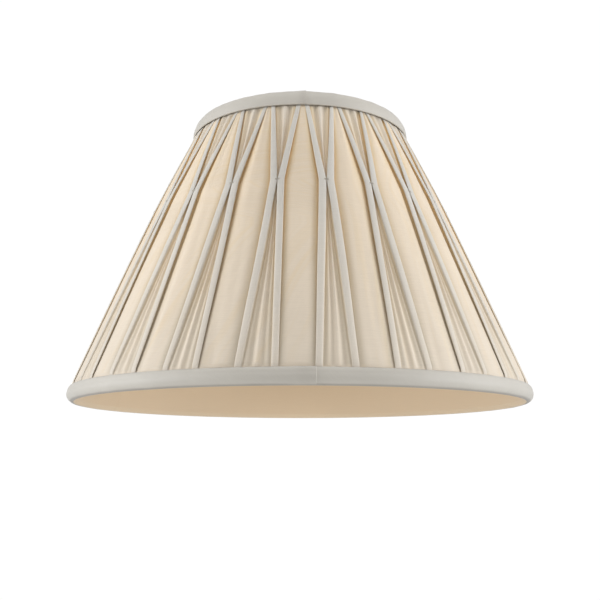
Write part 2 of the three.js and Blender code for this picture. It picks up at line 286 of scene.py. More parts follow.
class ShapeTree(Tree):
    """A geometry tree with named inputs. Sizes are fed in through its modifier."""

    def __init__(self, name, inputs):
        super().__init__(bpy.data.node_groups.new(name, "GeometryNodeTree"))
        face = self.tree.interface
        face.new_socket("Geometry", in_out="INPUT", socket_type="NodeSocketGeometry")
        face.new_socket("Geometry", in_out="OUTPUT", socket_type="NodeSocketGeometry")
        kinds = {int: "NodeSocketInt", float: "NodeSocketFloat"}
        for label, value in inputs.items():
            kind = kinds.get(type(value), "NodeSocketMaterial")
            face.new_socket(label, in_out="INPUT", socket_type=kind)
        self.values = inputs
        self.inputs = self.node("NodeGroupInput").outputs

    def named(self, attribute, kind="FLOAT"):
        made = self.node("GeometryNodeInputNamedAttribute", data_type=kind)
        made.inputs["Name"].default_value = attribute
        return made.outputs["Attribute"]

    def store(self, geometry, attribute, value, domain, kind="FLOAT"):
        made = self.node("GeometryNodeStoreNamedAttribute", data_type=kind, domain=domain)
        made.inputs["Name"].default_value = attribute
        self.put(made.inputs["Geometry"], geometry)
        self.put(made.inputs["Value"], value)
        return made.outputs[0]

    def place(self):
        return self.parts(self.node("GeometryNodeInputPosition").outputs[0])

    def move(self, geometry, position):
        made = self.node("GeometryNodeSetPosition")
        self.put(made.inputs["Geometry"], geometry)
        self.put(made.inputs["Position"], position)
        return made.outputs[0]

    def points(self, number):
        """Points to put copies on, all of them at the origin."""
        line = self.node("GeometryNodeMeshLine")
        self.put(line.inputs["Count"], number)
        line.inputs["Offset"].default_value = (0, 0, 0)
        return line.outputs[0]

    def copies(self, points):
        """The node that puts a copy of the tree's own geometry on each point."""
        made = self.node("GeometryNodeInstanceOnPoints")
        self.put(made.inputs["Points"], points)
        self.put(made.inputs["Instance"], self.inputs["Geometry"])
        return made

    def end(self, geometry):
        """Realizes the instances, sets the finish and closes the tree."""
        real = self.node("GeometryNodeRealizeInstances")
        self.put(real.inputs[0], geometry)
        finish = self.node("GeometryNodeSetMaterial")
        self.put(finish.inputs["Geometry"], real.outputs[0])
        self.put(finish.inputs["Material"], self.inputs["Material"])
        self.put(self.node("NodeGroupOutput").inputs[0], finish.outputs[0])

    def bake(self, name, seed_mesh):
        """Runs the tree on a mesh and returns the result as a plain mesh object."""
        source = add_piece(name, seed_mesh)
        modifier = source.modifiers.new(name, "NODES")
        modifier.node_group = self.tree
        for item in self.tree.interface.items_tree:
            if item.in_out == "INPUT" and item.name in self.values:
                modifier[item.identifier] = self.values[item.name]
        graph = bpy.context.evaluated_depsgraph_get()
        mesh = bpy.data.meshes.new_from_object(
            source.evaluated_get(graph), preserve_all_data_layers=True, depsgraph=graph
        )
        bpy.data.objects.remove(source)
        if not mesh.polygons:
            raise RuntimeError(f"{name}: the tree made no faces")
        return add_piece(name, mesh)


# ---- Finishes ----


class Finish(Tree):
    """A material of one Principled BSDF, with colour, roughness and bump from its nodes."""

    def __init__(self, name, roughness, **fixed):
        self.material = bpy.data.materials.new(name)
        self.material.use_nodes = True
        super().__init__(self.material.node_tree)
        self.surface = self.tree.nodes["Principled BSDF"]
        self.surface.inputs["Roughness"].default_value = roughness
        for label, value in fixed.items():
            self.surface.inputs[label.replace("_", " ")].default_value = value

    def mix(self, factor, a, b):
        made = self.node("ShaderNodeMix", data_type="RGBA")
        self.put(made.inputs["Factor"], factor)
        for socket, value in zip((made.inputs[6], made.inputs[7]), (a, b)):
            self.put(socket, value if isinstance(value, bpy.types.NodeSocket) else (*value, 1.0))
        return made.outputs[2]

    def shade(self, tint, amount):
        """A colour made darker or lighter by a factor near 1."""
        made = self.node("ShaderNodeVectorMath", operation="SCALE")
        self.put(made.inputs[0], tint)
        self.put(made.inputs["Scale"], amount)
        return made.outputs[0]

    def span(self, value, low, high):
        """A 0 to 1 value, moved to run from low to high."""
        return self.scaled(value, high - low, low)

    def attribute(self, name):
        return self.node("ShaderNodeAttribute", attribute_name=name).outputs["Fac"]

    def object_place(self):
        return self.node("ShaderNodeTexCoord").outputs["Object"]

    def cloth_place(self):
        """(across, up) on the cloth, in metres."""
        across, up, _ = self.parts(self.node("ShaderNodeUVMap", uv_map="UVMap").outputs[0])
        return across, up

    def bump(self, height, depth):
        made = self.node("ShaderNodeBump")
        made.inputs["Distance"].default_value = depth
        self.put(made.inputs["Height"], height)
        self.put(self.surface.inputs["Normal"], made.outputs[0])

    def weave(self, across, up, pitch, slub_length, slub_width):
        """Thread relief and slubs of a plain weave, each from 0 to 1."""
        turn = 2 * math.pi / pitch
        warp = self.math("SINE", self.times(across, turn))
        weft = self.math("SINE", self.times(up, turn * 0.8))
        threads = self.span(self.times(warp, weft), 0.5, 1.0)
        return threads, self.stretched(across, up, slub_length, slub_width, 3.0, 0.6)

    def stretched(self, across, up, wide, tall, detail, roughness=0.5):
        """Noise whose marks are about this wide and this tall on the cloth."""
        place = self.vector(self.math("DIVIDE", across, wide), self.math("DIVIDE", up, tall), 0.0)
        return self.noise(place, 1.0, detail, roughness)

    def done(self, tint, height=None, depth=0.0):
        self.put(self.surface.inputs["Base Color"], tint)
        if height is not None:
            self.bump(height, depth)
        return self.material


GLOW_REACH = 125 * MM  # how far up the cover its crevices' painted colour turns from painted shade to painted glow


def cover_finish(look):
    silk = Finish("pleated silk", 0.5, Sheen_Weight=0.25, Sheen_Roughness=0.4, Specular_IOR_Level=0.35)
    across, up = silk.cloth_place()
    threads, slub = silk.weave(across, up, 0.42 * MM, 9 * MM, 0.5 * MM)
    broad = silk.noise(silk.object_place(), 22.0, 3.0)
    streak = silk.stretched(across, up, 4.5 * MM, 90 * MM, 2.0)
    # Tucks and gathered cloth take the tucks' colour: partly the doubled silk's own tone, partly painted
    # shade where less light from inside comes through.
    tint = silk.mix(silk.attribute("tuck"), look.panel, look.tuck)
    # Painted glow: light from inside coming through the single-layer cloth unevenly, in long streaks, is
    # painted into its colour.
    single = silk.math("SUBTRACT", 1.0, silk.attribute("tuck"))
    glow = silk.times(silk.scaled(streak, 1.4, -0.68), single)
    tint = silk.mix(silk.math("MAXIMUM", glow, 0.0), tint, look.painted_crevice_tint)
    # Painted glow in the crevices where the cloth is pulled together, turning to painted shade lower down.
    low = silk.math("MAXIMUM", silk.scaled(up, -1 / GLOW_REACH, 1.0), 0.0)
    tint = silk.mix(silk.attribute("painted_crevice_tint"), tint, silk.mix(low, look.painted_crevice_tint, look.low_crevice_painted_shade))
    level = silk.times(
        silk.span(slub, 0.93, 1.07),
        silk.span(broad, 0.93, 1.07),
        silk.span(threads, 0.97, 1.02),
        silk.span(streak, 1.05, 0.95),
    )
    height = silk.total(silk.times(threads, 0.5), slub)
    silk.put(silk.surface.inputs["Roughness"], silk.span(slub, 0.42, 0.58))
    return silk.done(silk.shade(tint, level), height, 0.06 * MM)


def trim_finish(look):
    band = Finish("bias-cut silk", 0.45, Sheen_Weight=0.25, Sheen_Roughness=0.35, Specular_IOR_Level=0.4)
    across, up = band.cloth_place()
    # The band is cut on the bias, so its threads run at 45 degrees.
    first = band.total(across, up)
    second = band.math("SUBTRACT", across, up)
    threads, slub = band.weave(first, second, 0.5 * MM, 7 * MM, 0.5 * MM)
    broad = band.noise(band.object_place(), 30.0, 3.0)
    level = band.times(band.span(slub, 0.94, 1.06), band.span(broad, 0.93, 1.07))
    height = band.total(band.times(threads, 0.5), slub)
    band.put(band.surface.inputs["Roughness"], band.span(slub, 0.38, 0.55))
    tint = band.mix(band.attribute("shadow"), look.trim, look.trim_shadow)
    return band.done(band.shade(tint, level), height, 0.06 * MM)


def lining_finish(look):
    cloth = Finish("champagne lining", 0.6, Sheen_Weight=0.15, Specular_IOR_Level=0.3)
    across, up = cloth.cloth_place()
    threads, slub = cloth.weave(across, up, 0.36 * MM, 12 * MM, 0.4 * MM)
    broad = cloth.noise(cloth.object_place(), 14.0, 2.0)
    level = cloth.times(cloth.span(slub, 0.97, 1.03), cloth.span(broad, 0.95, 1.05))
    return cloth.done(cloth.shade(look.lining, level), cloth.total(threads, slub), 0.04 * MM)


def grained_finish(name, rgb, roughness, scale, depth, variation, **fixed):
    """A finish with an even fine grain: a powder coat, a moulding, a thread or a tape."""
    skin = Finish(name, roughness, **fixed)
    grain = skin.noise(skin.object_place(), scale, 4.0, 0.6)
    broad = skin.noise(skin.object_place(), scale / 12, 2.0)
    skin.put(skin.surface.inputs["Roughness"], skin.span(grain, roughness - 0.08, roughness + 0.08))
    return skin.done(skin.shade(rgb, skin.span(broad, 1 - variation, 1 + variation)), grain, depth)


# ---- Pieces ----


def add_piece(name, data):
    made = bpy.data.objects.new(name, data)
    bpy.context.scene.collection.objects.link(made)
    return made


def settle(made, body, slot_name, *nodes):
    """Puts a finished piece on its body and hides the CAD nodes that it stands for."""
    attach(made, body)
    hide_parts(*nodes)
    return made


def grid_mesh(name, places, cloth_places, material=None, round_about=False):
    """A sheet through rows of places, which may close on itself after its last column."""
    rows, columns = places.shape[:2]
    index = np.arange(rows * columns).reshape(rows, columns)
    right = np.roll(index, -1, axis=1) if round_about else index[:, 1:]
    left = index if round_about else index[:, :-1]
    faces = np.stack([left[:-1], right[:-1], right[1:], left[1:]], axis=-1).reshape(-1, 4)
    mesh = bpy.data.meshes.new(name)
    mesh.from_pydata(places.reshape(-1, 3).tolist(), [], faces.tolist())
    flat = cloth_places.reshape(-1, 2)[faces.reshape(-1)]
    if round_about:
        # The last column's faces end at the far edge of the cloth, not at its first column.
        wide = cloth_places[..., 0].max() * (1 + 1 / columns)
        last = flat.reshape(rows - 1, columns, 4, 2)[:, -1]
        last[:, 1:3, 0] = wide
    mesh.uv_layers.new(name="UVMap").data.foreach_set("uv", flat.astype(np.float32).ravel())
    mesh.shade_smooth()
    if material:
        mesh.materials.append(material)
    return mesh


def add_values(mesh, name, values):
    layer = mesh.attributes.new(name, "FLOAT", "POINT")
    layer.data.foreach_set("value", values.astype(np.float32).ravel())


def run_along(outline):
    """How far along an outline each of its places lies."""
    steps = np.linalg.norm(np.diff(outline, axis=0), axis=1)
    return np.concatenate([[0], np.cumsum(steps)])


def round_places(profile, angles):
    """Places of a (radius, height) profile at each angle, row by row. Each may vary with the angle."""
    around = FRONT + np.asarray(angles)
    radius, height = profile[..., 0], profile[..., 1]
    return np.stack([radius * np.cos(around), radius * np.sin(around), height * np.ones_like(around)], -1)


def wire_arc(centre, radius, start, end, steps):
    """(radius, height) places round a wire's middle."""
    turn = np.linspace(start, end, steps)
    return np.stack([centre[0] + radius * np.cos(turn), centre[1] + radius * np.sin(turn)], -1)


def ripple(angles, levels, seed, waves, count=7):
    """Smooth unevenness over the angles and levels, from -1 to 1."""
    chance = np.random.default_rng(seed)
    total = np.zeros((len(levels), len(angles)))
    for _ in range(count):
        turns = chance.integers(waves // 3, waves + 1)
        drift, start = chance.uniform(-3, 3), chance.uniform(0, 2 * math.pi)
        total += np.sin(turns * angles[None, :] + drift * levels[:, None] + start)
    return total / math.sqrt(count) / 1.6


def softened(node, slot_name, material, body, bevel=0.0, crease=40):
    """A smooth copy of a CAD node with its edges eased, which stands for it."""
    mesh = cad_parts[node].data.copy()
    work = bmesh.new()
    work.from_mesh(mesh)
    bmesh.ops.remove_doubles(work, verts=work.verts, dist=1e-6)
    bmesh.ops.dissolve_limit(work, angle_limit=math.radians(1), verts=work.verts, edges=work.edges)
    work.to_mesh(mesh)
    work.free()
    mesh.materials.clear()
    mesh.materials.append(material)
    made = add_piece(f"{node}_soft", mesh)
    if bevel:
        ease = made.modifiers.new("Eased Edges", "BEVEL")
        ease.width = bevel
        ease.segments = 2
        ease.limit_method = "ANGLE"
        ease.angle_limit = math.radians(crease)
    mesh.shade_smooth()
    mesh.set_sharp_from_angle(angle=math.radians(crease))
    return settle(made, body, slot_name, node)


# ---- The pleated cover ----


def blend(a, b, t):
    return a + (b - a) * t


def smooth_step(t):
    t = np.clip(t, 0, 1)
    return t * t * (3 - 2 * t)


# How far out from the generator the cover lies at the base, the pinch and the top, in mm.
LEVELS = {
    "crest": (3.7, 5.4, 3.4),  # of a tuck's head
    "root": (2.6, 2.3, 2.6),  # of a tuck's stem
    "wide": (3.4, 4.9, 3.2),  # of the panel between two pairs
    "narrow": (3.1, 3.5, 3.0),  # of the panel between the tucks of a pair
}
SLACK_ROOT = 3.0 * MM  # how far out a slack tuck's slope starts
STEM = 0.45  # half width of a tuck's stem, as a share of its head's
SLOPE = 1.45  # the same for the foot of a slack tuck
PINCH_OUT = 5 * MM  # how far out the height of the pinches is measured
PANEL_SHADE = 4.4 * MM  # how far in from a panel's edges its painted glow and painted shade reach
NARROW_EDGE_PAINT = 0.7  # how strong that painted glow and shade is in a narrow panel, against a wide one


def pinch_along(pleats):
    return WALL.along_at(pleats.pinch_height, PINCH_OUT)


class PleatRow:
    """The cover's section at one height, over one pair of tucks and the wide panel to its right."""

    def __init__(self, pleats, along):
        pinch = pinch_along(pleats)
        below = along < pinch
        far = (pinch - along) / pinch if below else (along - pinch) / (WALL.length - pinch)
        self.along = along
        self.spacing = 2 * math.pi * WALL.point(along, 3.5 * MM)[0] / pleats.pairs
        self.gap = blend(pleats.gap_pinch, pleats.gap_base if below else pleats.gap_top, far)
        self.half = blend(pleats.tuck_pinch, pleats.tuck_base if below else pleats.tuck_top, far) / 2
        full = 1 - far ** 1.6
        self.crest, self.root, self.wide, self.narrow = (
            blend(base if below else top, pinched, full) * MM for base, pinched, top in LEVELS.values()
        )
        # Below the pinch the tucks' inner sides slope softly into the cloth between them.
        self.inner_tight = 1 - 0.9 * smooth_step(4 * far) if below else 1.0
        self.inner_root = blend(self.root, SLACK_ROOT, 1 - self.inner_tight) if below else self.root
        # Painted shade: gathered cloth is painted greyer, as it lets less light through than the smooth
        # panels do.
        self.narrow_painted_grey = 0.35 if below else blend(0.3, 0.6, far)
        self.wide_painted_grey = 0.35 * far if below else 0.0
        # How strong the painted glow and painted shade near the panels' edges are.
        self.edge_paint_strength = blend(0.7, 1.0, (1 - far) ** 0.6) if below else 1.0
        self.slack = 1 - 0.4 * smooth_step(far) if below else 1.0
        self.head = min(pleats.head, 0.5 * (self.crest - self.root))
        # Below the pinch the tucks' greyer colour, partly painted shade, fades towards the base.
        self.doubled = 1 - 0.4 * far if below else 1.0

    def tuck_side(self, root, tight):
        """(share of the half width, out, painted shade and glow of the crevices, share of the tucks'
        colour) of a tuck's side, from its root to its crest.

        A tight side is a stem under a flat head that overhangs it. A slack one is a plain slope.
        """
        under = self.crest - self.head
        return [
            (blend(SLOPE, STEM, tight), root, blend(0.6, 1.0, tight), 0.0),
            (blend(1.28, 0.28, tight), (root + under) / 2, blend(0.5, 1.0, tight), 0.3),
            (blend(1.14, 0.55, tight), under, blend(0.25, 0.8, tight), 0.7),
            (blend(1.05, 0.90, tight), under + 0.22 * self.head, blend(0.1, 0.35, tight), self.doubled),
            (1.00, under + 0.55 * self.head, 0.0, self.doubled),
            (0.84, self.crest - 0.18 * self.head, 0.0, self.doubled),
            (0.45, self.crest - 0.02 * self.head, 0.0, self.doubled),
        ]

    def tuck(self, middle, side):
        """A whole tuck, whose outer side, away from the pair's middle, is tight."""
        outer = self.tuck_side(self.root, 1.0)
        inner = self.tuck_side(self.inner_root, self.inner_tight)
        left, right = (outer, inner) if side < 0 else (inner, outer)
        crown = [(0.0, self.crest + 0.05 * self.head, 0.0, self.doubled)]
        places = [(-x, *rest) for x, *rest in left] + crown + right[::-1]
        return [(middle + x * self.half, *rest) for x, *rest in places]

    def panel(self, start, end, levels, steps):
        """(across, out, painted shade and glow of the crevices, share of the tucks' colour) over a panel
        that dives to the roots of the tucks beside it.

        Its levels are how far out it rises, how far out its edges lie, how much painted shade greys it, and
        how strong the painted glow and shade at its edges are.
        """
        rise, root, painted_grey, edge_paint_strength = levels
        middle, reach = (start + end) / 2, (end - start) / 2
        soft = min(0.7, PANEL_SHADE / reach)
        places = []
        for u in steps:
            dive = 0.5 * u * u + 0.5 * abs(u) ** 6
            # Painted glow high on the wall and painted shade low on it, near the panel's edges beside the
            # tucks.
            painted_tint_share = max(0.0, (abs(u) - 1 + soft) / soft) * edge_paint_strength
            places.append((middle + u * reach, blend(rise, root, dive), painted_tint_share, painted_grey))
        return places

    def section(self):
        inner = self.gap - blend(SLOPE, STEM, self.inner_tight) * self.half
        outer = self.gap + STEM * self.half
        left, right = self.tuck(-self.gap, -1), self.tuck(self.gap, 1)
        levels = (self.narrow, self.inner_root, self.narrow_painted_grey, NARROW_EDGE_PAINT * self.edge_paint_strength)
        narrow = self.panel(-inner, inner, levels, NARROW_STEPS)
        levels = (self.wide, self.root, self.wide_painted_grey, self.edge_paint_strength)
        wide = self.panel(outer, self.spacing - outer, levels, WIDE_STEPS)
        first = left[0]
        last = (first[0] + self.spacing, *first[1:])
        return np.array(left + narrow + right + wide + [last])


def both_sides(steps):
    """Steps to the right of a panel's middle, with the same to its left."""
    return np.array([-u for u in steps[::-1]] + [0.0] + list(steps))


# Where a panel's columns lie, as shares of the way from its middle to its edges.
NARROW_STEPS = both_sides((0.11, 0.22, 0.33, 0.44, 0.55, 0.66, 0.77, 0.88, 0.96))
WIDE_STEPS = both_sides((0.12, 0.24, 0.36, 0.48, 0.6, 0.71, 0.81, 0.89, 0.95))
TUCK_COLUMNS = 15
NARROW = slice(TUCK_COLUMNS, TUCK_COLUMNS + len(NARROW_STEPS))
WIDE = slice(NARROW.stop + TUCK_COLUMNS, NARROW.stop + TUCK_COLUMNS + len(WIDE_STEPS))


ROWS_BELOW, ROWS_ABOVE = 23, 15  # rows from the bottom trim to the pinch, and from there to the top's
CLOTH_END = 0.6 * MM  # from a ring's wire to the end of the cover, under the trim
PRESSED, PRESSED_DEPTH = 2.45 * MM, 0.55 * MM  # where the pleats lie pressed flat, and how thick
RELEASE = 3.5 * MM  # how far from a trim's edge the pleats are free of it
LOOSE_GAP = 4.5 * MM  # a pair with a smaller gap than this has lower folds


def pleat_rows(pinch):
    """How far up the rows lie: evenly below and above the pinch, and closer at the trims' edges."""
    near, free = 1 * MM, 2.5 * MM
    rows = [CLOTH_END, LOW_EDGE - near, LOW_EDGE, LOW_EDGE + near]
    rows += list(np.linspace(LOW_EDGE + free, pinch, ROWS_BELOW))
    rows += list(np.linspace(pinch, HIGH_EDGE - free, ROWS_ABOVE))[1:]
    rows += [HIGH_EDGE - near, HIGH_EDGE, HIGH_EDGE + near, WALL.length - CLOTH_END]
    return rows


def pleat_cell(pleats):
    """One pair and one wide panel, unrolled: x in pair spacings, y out from the generator, z along it."""
    rows = [PleatRow(pleats, along) for along in pleat_rows(pinch_along(pleats))]
    places, flats, extras = [], [], []
    for row in rows:
        section = row.section()
        across, out = section[:, 0], section[:, 1]
        # Under the trims the pleats are pressed flat.
        clear = min(row.along - LOW_EDGE, HIGH_EDGE - row.along)
        rise = smooth_step((clear + 0.5 * MM) / RELEASE)
        pressed = PRESSED + PRESSED_DEPTH * (out - row.root) / (row.crest - row.root)
        out = blend(pressed, out, rise)
        run = np.hypot(np.diff(across), np.diff(out))
        flats.append(np.concatenate([[0], np.cumsum(run)]))
        places.append(np.stack([across / row.spacing, out, np.full_like(out, row.along)], -1))
        loose, drape, place = np.zeros((3, len(out)))
        loose[NARROW] = (1 - NARROW_STEPS ** 4) * min(1, row.gap / LOOSE_GAP) * rise * row.slack
        drape[WIDE] = (1 - WIDE_STEPS ** 4) * rise
        place[NARROW], place[WIDE] = NARROW_STEPS, WIDE_STEPS
        cloth = np.full_like(out, flats[-1][-1])
        # The crevices' painted shade and glow end where the pleats lie pressed flat under the trims.
        extras.append([section[:, 2] * rise, section[:, 3], loose, drape, place, cloth])
    places, flats, extras = np.array(places), np.array(flats), np.array(extras)
    alongs = np.broadcast_to(places[..., 2], flats.shape)
    mesh = grid_mesh("pleat_cell", places, np.stack([flats, alongs], -1))
    for i, name in enumerate(("painted_crevice_tint", "tuck", "loose", "drape", "across", "cloth")):
        add_values(mesh, name, extras[:, i])
    cloth_width = flats[:, -1]
    steps = np.diff([row.along for row in rows])
    cloth_area = np.sum(steps * (cloth_width[:-1] + cloth_width[1:]) / 2)
    return mesh, float(cloth_width.max()), float(cloth_area)


STRAY_CIRCLE = 4.0  # radius in the noise that the pairs' strays are read at
STRAY_DRIFT = 7.0  # how far the noise moves on per metre up the wall


def wandered_angle(tree, cells, along):
    """The angle about +Z of a place this many pair spacings round, with each pair's small stray.

    The stray is read from noise round a circle, so that the last pair strays as the first one does.
    """
    spacing = tree.inputs["Spacing"]
    even = tree.scaled(cells, spacing, tree.inputs["First Angle"])
    sample = tree.vector(
        tree.times(tree.math("COSINE", even), STRAY_CIRCLE),
        tree.times(tree.math("SINE", even), STRAY_CIRCLE),
        tree.scaled(along, STRAY_DRIFT, tree.inputs["Seed"]),
    )
    stray = tree.math("SUBTRACT", tree.noise(sample, 1.0, 1.0), 0.5)
    stray = tree.times(stray, tree.times(tree.inputs["Wander"], 2.0))
    lean = tree.math("SUBTRACT", along, tree.inputs["Pinch"])
    leaning = tree.scaled(lean, tree.inputs["Twist"], even)
    return tree.scaled(stray, spacing, leaning)


def wrapped(tree, turn, along, out):
    """Where a place in the wall lies, at an angle about +Z."""
    radius, height = (
        tree.total(start, tree.times(along, up), tree.times(out, away))
        for start, up, away in zip(WALL.bottom.tolist(), WALL.up.tolist(), WALL.outward.tolist())
    )
    return tree.vector(
        tree.times(radius, tree.math("COSINE", turn)),
        tree.times(radius, tree.math("SINE", turn)),
        height,
    )


def stray_inputs(pleats):
    """The inputs that place pairs, shared by the pleats and their stitches."""
    return {
        "Spacing": 2 * math.pi / pleats.pairs,
        "First Angle": FRONT + pleats.first_angle,
        "Wander": pleats.wander,
        "Twist": pleats.twist / WALL.length,
        "Pinch": float(pinch_along(pleats)),
        "Seed": float(pleats.seed),
    }


PAIR_STEP = 3.7  # how far apart in the noise two neighbouring pairs lie
FOLD_DRIFT, FOLD_SWAY = 6.0, 12.0  # how fast up the wall, and how far, a pair's folds shift sideways
WAVE_ACROSS, WAVE_DRIFT = 1.3, 12.0  # how fast a wide panel's waves change across it and up it
VALLEY_PAINT = 0.28  # how much more painted shade and glow, in the crevices' colours, the valleys of folds have than level cloth
MERGE = 0.01 * MM


def pleat_tree(pleats, first_pair, pairs, material):
    """Repeats the cell round the shade, joins the copies and wraps them onto the wall."""
    sizes = {name.title(): getattr(pleats, name) for name in ("ruffle", "folds", "waves")}
    numbers = {"Count": pairs, "First Pair": first_pair, "Material": material}
    tree = ShapeTree("Pinch Pleats", {**numbers, **sizes, **stray_inputs(pleats)})
    copies = tree.copies(tree.points(tree.inputs["Count"]))
    index = tree.node("GeometryNodeInputIndex").outputs[0]
    number = tree.total(index, tree.inputs["First Pair"])
    numbered = tree.store(copies.outputs[0], "pair", number, "INSTANCE")
    real = tree.node("GeometryNodeRealizeInstances")
    tree.put(real.inputs[0], numbered)
    pair = tree.named("pair")
    faces = tree.store(real.outputs[0], "pair", pair, "FACE")
    # Each copy's cloth goes on from where the last one's ends.
    u, v, _ = tree.parts(tree.named("UVMap", "FLOAT_VECTOR"))
    u = tree.scaled(pair, tree.named("cloth"), u)
    mapped = tree.store(faces, "UVMap", tree.vector(u, v, 0.0), "CORNER", "FLOAT2")
    x, out, along = tree.place()
    spread = tree.move(mapped, tree.vector(tree.total(x, pair), out, along))
    merge = tree.node("GeometryNodeMergeByDistance")
    merge.inputs["Distance"].default_value = MERGE
    tree.put(merge.inputs["Geometry"], spread)
    x, out, along = tree.place()
    # Soft folds run down the narrow panels and meet at the pinch. No two pairs have the same.
    across = tree.named("across")
    chance = tree.scaled(pair, PAIR_STEP, tree.inputs["Seed"])
    drift = tree.times(along, FOLD_DRIFT)
    phase = tree.times(tree.noise(tree.vector(chance, drift, 0.0), 1.0, 0.0), FOLD_SWAY)
    swing = tree.math("COSINE", tree.scaled(across, tree.inputs["Folds"], phase))
    fold = tree.times(tree.named("loose"), tree.inputs["Ruffle"], swing)
    # The wide panels have one or two broad, shallow waves.
    crossing, drift = tree.times(across, WAVE_ACROSS), tree.times(along, WAVE_DRIFT)
    waves = tree.noise(tree.vector(crossing, chance, drift), 1.0, 1.0)
    wave = tree.times(tree.math("SUBTRACT", waves, 0.5), tree.named("drape"), tree.inputs["Waves"])
    # Painted shade and glow: cloth in the valleys of folds gets more of the crevices' painted colours, and
    # gathered cloth less of it.
    clear = tree.scaled(tree.named("tuck"), -1.6, 1.0)
    valley_paint = tree.times(clear, tree.scaled(swing, -VALLEY_PAINT, VALLEY_PAINT))
    valley_paint = tree.times(tree.named("loose"), valley_paint)
    painted_tint_share = tree.total(tree.named("painted_crevice_tint"), valley_paint)
    tinted = tree.store(merge.outputs[0], "painted_crevice_tint", painted_tint_share, "POINT")
    turn = wandered_angle(tree, x, along)
    tree.end(tree.move(tinted, wrapped(tree, turn, along, tree.total(out, fold, wave))))
    return tree


class LAMPSHADE_OT_cover(bpy.types.Operator):
    """Makes the pleated cover: two panels of silk, joined under the edges of two tucks"""

    bl_idname = "lampshade.cover"
    bl_label = "Pleated Cover"

    def execute(self, context):
        pleats = context.scene.shade_pleats
        material = cover_finish(context.scene.shade_finishes)
        cell, cloth_width, cloth_area = pleat_cell(pleats)
        half = pleats.pairs // 2
        for node, first in (("cover_panel_right", 0), ("cover_panel_left", half)):
            tree = pleat_tree(pleats, first, half, material)
            panel = tree.bake(f"{node}_pleated", cell.copy())
            wall = panel.modifiers.new("Cloth", "SOLIDIFY")
            wall.thickness = pleats.cloth
            wall.offset = -1
            settle(panel, "shade", "cover_silk", node)
        return {"FINISHED"}


# ---- Pinch stitches ----


THREAD = 0.11 * MM  # radius of the thread
LOOP_WIDTH, LOOP_ARCH, LOOP_SPACING = 2.4 * MM, 0.3 * MM, 0.32 * MM
KNOT_LIFT = 0.12 * MM  # how far a knot stands out from the tucks' heads
LOOP_RINGS, THREAD_SIDES = 9, 6


def thread_loop():
    """One turn of thread over a pair of tucks, across Y, with its ends sunk into the cloth."""
    turn = np.linspace(0, math.pi, LOOP_RINGS)
    y = -np.cos(turn) * LOOP_WIDTH / 2
    x = np.sin(turn) ** 0.6 * LOOP_ARCH - LOOP_ARCH
    section = np.linspace(0, 2 * math.pi, THREAD_SIDES, endpoint=False)
    tangent = np.stack([np.gradient(x), np.gradient(y)], -1)
    tangent /= np.linalg.norm(tangent, axis=1)[:, None]
    normal = np.stack([tangent[:, 1], -tangent[:, 0]], -1)
    aside, height = THREAD * np.cos(section), THREAD * np.sin(section)
    across = normal[:, :, None] * aside
    return np.stack(np.broadcast_arrays(x[:, None] + across[:, 0], y[:, None] + across[:, 1], height), -1)


def thread_mesh(name, loops):
    """Closed threads through the given rings of places."""
    mesh = bmesh.new()
    for places in loops:
        rings = [[mesh.verts.new(place) for place in ring] for ring in places]
        for a, b in zip(rings, rings[1:]):
            for i in range(len(a)):
                j = (i + 1) % len(a)
                mesh.faces.new([a[i], a[j], b[j], b[i]])
        mesh.faces.new(rings[0][::-1])
        mesh.faces.new(rings[-1])
    bmesh.ops.recalc_face_normals(mesh, faces=mesh.faces)
    made = bpy.data.meshes.new(name)
    mesh.to_mesh(made)
    mesh.free()
    made.shade_smooth()
    return made


def stitch_tree(pleats, material):
    """Sets a knot of thread on each pinch."""
    along = pinch_along(pleats)
    sizes = {
        "Count": pleats.pairs,
        "Along": float(along),
        "Out": float(PleatRow(pleats, along).crest + KNOT_LIFT),
        "Lean": -WALL.lean,
        "Material": material,
    }
    tree = ShapeTree("Pinch Stitches", {**sizes, **stray_inputs(pleats)})
    number = tree.node("GeometryNodeInputIndex").outputs[0]
    turn = wandered_angle(tree, number, tree.inputs["Along"])
    place = wrapped(tree, turn, tree.inputs["Along"], tree.inputs["Out"])
    copies = tree.copies(tree.move(tree.points(tree.inputs["Count"]), place))
    # Each knot is turned to face outwards from the place that its point has been moved to.
    facing = tree.node("FunctionNodeEulerToRotation")
    x, y, _ = tree.place()
    around = tree.math("ARCTAN2", y, x)
    tree.put(facing.inputs[0], tree.vector(0.0, tree.inputs["Lean"], around))
    tree.put(copies.inputs["Rotation"], facing.outputs[0])
    tree.end(copies.outputs[0])
    return tree


class LAMPSHADE_OT_stitches(bpy.types.Operator):
    """Makes the pinch stitches that hold the tucks together in pairs"""

    bl_idname = "lampshade.stitches"
    bl_label = "Pinch Stitches"

    def execute(self, context):
        pleats = context.scene.shade_pleats
        look = context.scene.shade_finishes
        material = grained_finish("sewing thread", look.thread, 0.6, 4000, 0.02 * MM, 0.06)
        loops = [thread_loop() + np.array([0, 0, turn * LOOP_SPACING]) for turn in (-1, 0, 1)]
        mesh = thread_mesh("pinch_knot", loops)
        stitches = stitch_tree(pleats, material).bake("pinch_stitches", mesh)
        nodes = sorted(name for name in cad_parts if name.startswith("pinch_stitch_"))
        settle(stitches, "shade", "thread", *nodes)
        return {"FINISHED"}


# ---- Trims ----


FACE_ROWS, TURN_ROWS, BAND_COLUMNS = 8, 16, 240
BAND_GAP = math.radians(0.04)  # from a band's join to each of its ends
BAND_WAVES = 60  # most puckers round a band
SHADOW_START, SHADOW_FADE = 0.76, 0.12  # where the underside's shadow starts, along a band's outside
PATCH = {-1: 0.15, 1: 0.25}  # shade beside the bottom and the top band's join


